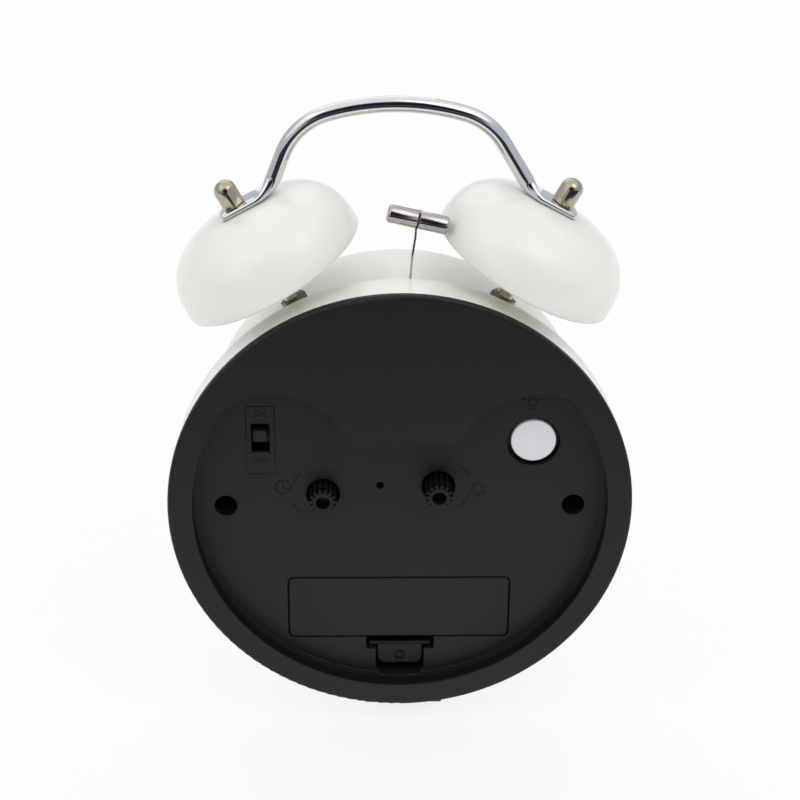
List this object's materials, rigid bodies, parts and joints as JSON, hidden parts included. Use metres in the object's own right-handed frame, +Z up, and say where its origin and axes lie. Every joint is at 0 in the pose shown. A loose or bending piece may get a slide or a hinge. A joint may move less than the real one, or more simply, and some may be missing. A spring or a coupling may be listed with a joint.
{
  "type": "alarm clock",
  "caption": "Battery alarm clock with a round metal drum, two bells on slanted posts, a bowed carrying handle, a hammer between the bells, and a black rear cover with setting knobs.",
  "frame": {"origin": "middle of the bounding box, on the table plane under the feet", "axes": "+Z up, +Y towards the clock's rear cover, so the dial faces -Y, and +X to the left as seen from behind"},
  "size_m": [0.116, 0.053, 0.1613],
  "materials": {
    "white_enamel": "gloss",
    "black_plastic": "fine satin",
    "white_plastic": "satin",
    "grey_plastic": "satin",
    "clear_lens": "polished",
    "dial_paper": "matte print",
    "black_paint": "satin",
    "red_paint": "satin",
    "chrome": "polished",
    "nickel": "polished",
    "steel": "polished",
    "dark_steel": "satin",
    "brass": "satin",
    "board_green": "satin",
    "copper_wire": "satin",
    "battery_print": "satin",
    "lamp_clear": "gloss"
  },
  "bodies": {
    "clock": {"acorn_nuts": "nickel", "back_cover": "black_plastic", "battery_cell": "battery_print", "battery_contact": "nickel", "battery_spring": "nickel", "bell_posts": "nickel", "case_shell": "white_enamel", "circuit_board": "board_green", "cover_screws": "steel", "dial": "dial_paper", "dial_frame": "white_plastic", "dial_lamp": "lamp_clear", "dial_marks": "black_paint", "dial_ring": "white_plastic", "front_legs": "chrome", "front_lens": "clear_lens", "hammer_pivot": "steel", "handle": "chrome", "inner_screws": "steel", "left_bell": "white_enamel", "light_switch": "grey_plastic", "lock_nuts": "nickel", "motor_coil": "copper_wire", "movement_back": "grey_plastic", "movement_front": "grey_plastic", "post_nuts": "dark_steel", "post_washers": "nickel", "quartz_crystal": "nickel", "rear_foot": "black_plastic", "right_bell": "white_enamel", "stator": "steel", "striker_frame": "steel", "striker_motor": "steel", "switch_board": "board_green", "switch_body": "black_plastic"},
    "minute": {"minute_arbor": "brass", "minute_hand": "black_paint"},
    "hour": {"hour_wheel": "white_plastic", "hour_hand": "black_paint"},
    "minute_gear": {"minute_wheel": "white_plastic"},
    "time_setting": {"time_shaft": "black_plastic", "time_knob": "black_plastic"},
    "alarm_setting": {"alarm_shaft": "black_plastic", "alarm_knob": "black_plastic"},
    "alarm_pointer": {"alarm_wheel": "white_plastic", "alarm_hand": "red_paint"},
    "seconds": {"second_wheel": "white_plastic", "second_hand": "black_paint"},
    "third_gear": {"third_wheel": "white_plastic"},
    "motor_rotor": {"rotor": "dark_steel"},
    "intermediate_gear": {"intermediate_wheel": "white_plastic"},
    "centre_gear": {"centre_wheel": "white_plastic"},
    "eccentric": {"striker_wheel": "white_plastic"},
    "striker_shaft": {"striker_pinion": "brass"},
    "hammer": {"hammer_arm": "steel", "hammer_head": "steel"},
    "slider": {"alarm_switch": "black_plastic"},
    "button": {"light_button": "white_plastic", "light_plunger": "grey_plastic"},
    "battery_door": {"battery_cover": "black_plastic"}
  },
  "joints": [
    {"name": "minute_hand", "type": "hinge", "parent": "clock", "child": "minute", "pos_m": [0, -0.0165, 0.062], "axis": [0, 1, 0], "continuous": true},
    {"name": "time_knob", "type": "hinge", "parent": "clock", "child": "time_setting", "pos_m": [0.0193, 0.0185, 0.0643], "axis": [0, 1, 0], "continuous": true},
    {"name": "minute_wheel", "type": "hinge", "parent": "clock", "child": "minute_gear", "pos_m": [0.00993, -0.0145, 0.06082], "axis": [0, 1, 0], "continuous": true},
    {"name": "hour_hand", "type": "hinge", "parent": "clock", "child": "hour", "pos_m": [0, -0.0185, 0.062], "axis": [0, 1, 0], "continuous": true},
    {"name": "alarm_hand", "type": "hinge", "parent": "clock", "child": "alarm_pointer", "pos_m": [0, -0.0185, 0.062], "axis": [0, 1, 0], "continuous": true},
    {"name": "alarm_knob", "type": "hinge", "parent": "clock", "child": "alarm_setting", "pos_m": [-0.0096, 0.0185, 0.0664], "axis": [0, 1, 0], "continuous": true},
    {"name": "rotor", "type": "hinge", "parent": "clock", "child": "motor_rotor", "pos_m": [-0.01072, -0.0065, 0.05099], "axis": [0, 1, 0], "continuous": true},
    {"name": "third_wheel", "type": "hinge", "parent": "clock", "child": "third_gear", "pos_m": [-0.00482, -0.0075, 0.05512], "axis": [0, 1, 0], "continuous": true},
    {"name": "second_hand", "type": "hinge", "parent": "clock", "child": "seconds", "pos_m": [0, -0.0125, 0.062], "axis": [0, 1, 0], "continuous": true},
    {"name": "intermediate_wheel", "type": "hinge", "parent": "clock", "child": "intermediate_gear", "pos_m": [0.00349, -0.0105, 0.05242], "axis": [0, 1, 0], "continuous": true},
    {"name": "centre_wheel", "type": "hinge", "parent": "clock", "child": "centre_gear", "pos_m": [0, -0.0115, 0.062], "axis": [0, 1, 0], "continuous": true},
    {"name": "striker_wheel", "type": "hinge", "parent": "clock", "child": "eccentric", "pos_m": [0.0026, 0.0035, 0.095], "axis": [0, 1, 0], "continuous": true},
    {"name": "striker_shaft", "type": "hinge", "parent": "clock", "child": "striker_shaft", "pos_m": [-0.0064, 0.0035, 0.095], "axis": [0, 1, 0], "continuous": true},
    {"name": "hammer_swing", "type": "hinge", "parent": "clock", "child": "hammer", "pos_m": [-0.0022, 0.0088, 0.103], "axis": [0, 1, 0], "range_deg": [0, 17], "stiffness_Nm_per_rad": 0.01},
    {"name": "alarm_switch", "type": "slide", "parent": "clock", "child": "slider", "axis": [0, 0, 1], "range_m": [-0.002, 0]},
    {"name": "light_button", "type": "slide", "parent": "clock", "child": "button", "axis": [0, -1, 0], "range_m": [0, 0.001], "stiffness_N_per_m": 800, "springref_m": -0.0005},
    {"name": "battery_door", "type": "hinge", "parent": "clock", "child": "battery_door", "pos_m": [0, 0.02, 0.0397], "axis": [1, 0, 0], "range_deg": [0, 75]}
  ],
  "couplings": [
    {"joint": "time_knob", "follows": "minute_hand", "ratio": 1},
    {"joint": "minute_wheel", "follows": "minute_hand", "ratio": -0.33333},
    {"joint": "hour_hand", "follows": "minute_hand", "ratio": 0.083333},
    {"joint": "alarm_knob", "follows": "alarm_hand", "ratio": -3.4},
    {"joint": "third_wheel", "follows": "rotor", "ratio": -0.2},
    {"joint": "second_hand", "follows": "rotor", "ratio": 0.033333},
    {"joint": "intermediate_wheel", "follows": "rotor", "ratio": -0.0044444},
    {"joint": "centre_wheel", "follows": "rotor", "ratio": 0.00055556},
    {"joint": "striker_shaft", "follows": "striker_wheel", "ratio": -3.5}
  ]
}
